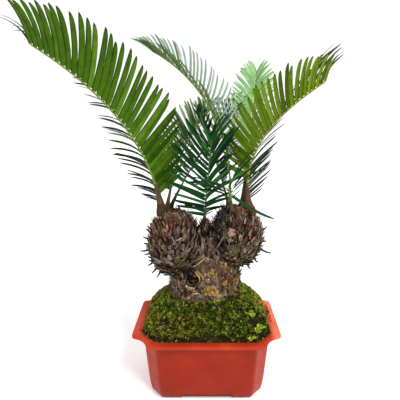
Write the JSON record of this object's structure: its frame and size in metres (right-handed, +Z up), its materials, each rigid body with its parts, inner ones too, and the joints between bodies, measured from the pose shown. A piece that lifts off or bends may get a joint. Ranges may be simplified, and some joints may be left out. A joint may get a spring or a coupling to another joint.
{
  "type": "potted sago palm",
  "caption": "Potted sago palm: a short swollen trunk forking into scaly heads that carry arching feather-like fronds, in a shallow moss-topped plastic pot.",
  "frame": {"origin": "middle of the whole plant's bounding box, on the floor the pot stands on", "axes": "+Z up along the plant's height; -Y is the side the picture was taken from; +X is to the right in the picture, along the pot's long side"},
  "size_m": [0.3627, 0.2765, 0.498],
  "materials": {
    "pot_plastic": "satin",
    "moss_soil": "matte",
    "bark": "matte",
    "leaf": "satin"
  },
  "bodies": {
    "root": {"pot": "pot_plastic", "soil_and_moss": "moss_soil", "trunk": "bark", "left_head": "bark", "right_head": "bark", "middle_shoot": "bark", "frond_left_front": "leaf", "frond_right_front": "leaf", "frond_left_back": "leaf", "frond_long_back": "leaf", "frond_middle": "leaf", "frond_right_back": "leaf", "frond_left_inner": "leaf", "frond_right_inner": "leaf", "frond_toward_front": "leaf"}
  },
  "joints": []
}
